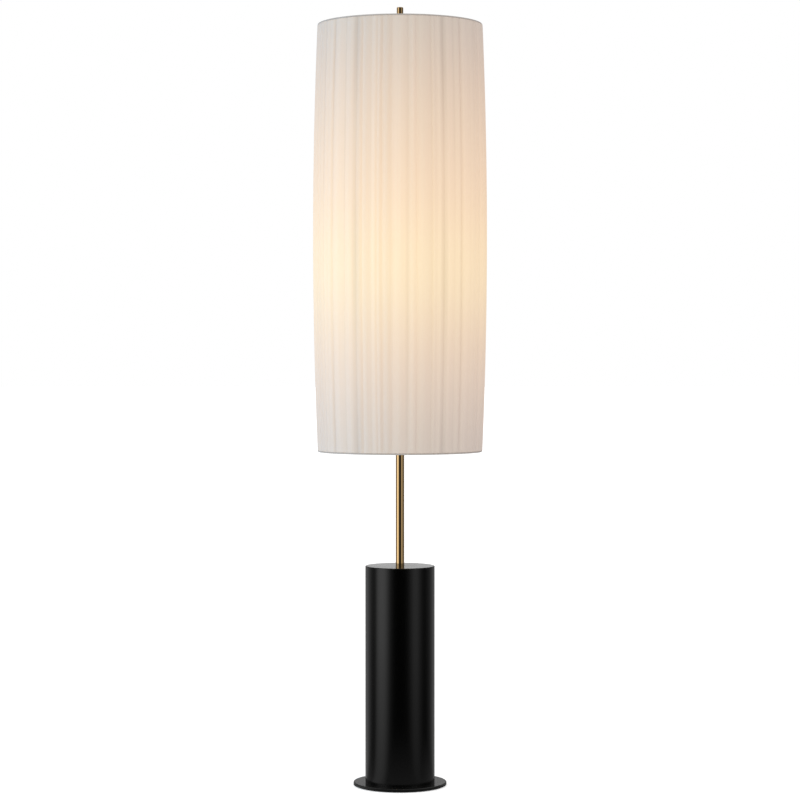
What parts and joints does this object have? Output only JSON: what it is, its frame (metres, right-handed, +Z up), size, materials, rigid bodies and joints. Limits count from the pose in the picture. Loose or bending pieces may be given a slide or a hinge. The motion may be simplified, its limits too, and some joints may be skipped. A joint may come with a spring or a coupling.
{
  "type": "column floor lamp",
  "caption": "Floor lamp: a black steel column on a round foot, a brass stem with stacked bulbs and a tall barrel-shaped pleated shade held on by a brass finial.",
  "frame": {"origin": "on the floor, on the lamp's axis, under the middle of the felt pad", "axes": "+Z up along the lamp's axis; +Y to the back, where the cord entry is; +X to the right, the lower bulb's side"},
  "size_m": [0.382, 0.3816, 1.7098],
  "materials": {
    "felt": "matte",
    "black_enamel": "satin",
    "zinc_steel": "satin",
    "plain_steel": "satin",
    "cast_iron": "matte",
    "black_nylon": "satin",
    "brass": "polished",
    "lead_sleeve": "matte",
    "white_ceramic": "matte",
    "brown_phenolic": "satin",
    "fibre_card": "matte",
    "nickel": "polished",
    "bulb_glass": "gloss",
    "black_vitrite": "gloss",
    "white_wire": "satin",
    "lining_cloth": "matte",
    "pleated_cloth": "matte",
    "binding_cloth": "matte"
  },
  "bodies": {
    "stand": {"felt_pad": "felt", "foot_plate": "black_enamel", "foot_screws": "zinc_steel", "ballast_weight": "cast_iron", "ballast_bolt": "zinc_steel", "mounting_ring": "plain_steel", "column_shell": "black_enamel", "column_cap": "black_enamel", "cord_bushing": "black_nylon", "bushing_nut": "black_nylon", "stem_nipple": "zinc_steel", "nipple_washer": "zinc_steel", "nipple_nut": "zinc_steel", "stem_bush": "brass", "stem_tube": "brass", "lower_hub": "brass", "lower_riser": "brass", "upper_hub": "brass", "upper_riser": "brass", "shade_seat": "brass", "shade_stud": "zinc_steel", "lower_arm": "brass", "upper_arm": "brass", "lower_lead": "lead_sleeve", "upper_lead": "lead_sleeve", "lead_connector": "white_ceramic", "lower_holder_cap": "brass", "upper_holder_cap": "brass", "lower_holder_shell": "brass", "upper_holder_shell": "brass", "lower_switch_body": "brown_phenolic", "upper_switch_body": "brown_phenolic", "lower_fibre_liner": "fibre_card", "upper_fibre_liner": "fibre_card", "lower_screw_shell": "nickel", "upper_screw_shell": "nickel", "lower_centre_contact": "brass", "upper_centre_contact": "brass"},
    "lower_knob": {"lower_switch_knob": "brown_phenolic"},
    "upper_knob": {"upper_switch_knob": "brown_phenolic"},
    "lower_bulb": {"lower_bulb_glass": "bulb_glass", "lower_bulb_cap": "nickel", "lower_bulb_insulator": "black_vitrite"},
    "upper_bulb": {"upper_bulb_glass": "bulb_glass", "upper_bulb_cap": "nickel", "upper_bulb_insulator": "black_vitrite"},
    "shade": {"top_ring": "white_wire", "bottom_ring": "white_wire", "shade_struts": "white_wire", "spider_arms": "white_wire", "spider_hub": "brass", "shade_lining": "lining_cloth", "shade_cover": "pleated_cloth", "top_binding": "binding_cloth", "bottom_binding": "binding_cloth", "finial_washer": "brass"},
    "finial": {"finial": "brass"}
  },
  "joints": [
    {"name": "shade_lift", "type": "slide", "parent": "stand", "child": "shade", "axis": [0, 0, 1], "range_m": [0, 1]},
    {"name": "finial_turn", "type": "hinge", "parent": "shade", "child": "finial", "pos_m": [0, 0, 1.69], "axis": [0, 0, 1], "continuous": true},
    {"name": "lower_switch_turn", "type": "hinge", "parent": "stand", "child": "lower_knob", "pos_m": [0.0685, 0, 1.046], "axis": [1, 0, 0], "continuous": true},
    {"name": "upper_switch_turn", "type": "hinge", "parent": "stand", "child": "upper_knob", "pos_m": [-0.0685, 0, 1.296], "axis": [-1, 0, 0], "continuous": true},
    {"name": "lower_bulb_turn", "type": "hinge", "parent": "stand", "child": "lower_bulb", "pos_m": [0.05, 0, 1.1], "axis": [0, 0, 1], "continuous": true},
    {"name": "upper_bulb_turn", "type": "hinge", "parent": "stand", "child": "upper_bulb", "pos_m": [-0.05, 0, 1.35], "axis": [0, 0, 1], "continuous": true}
  ]
}
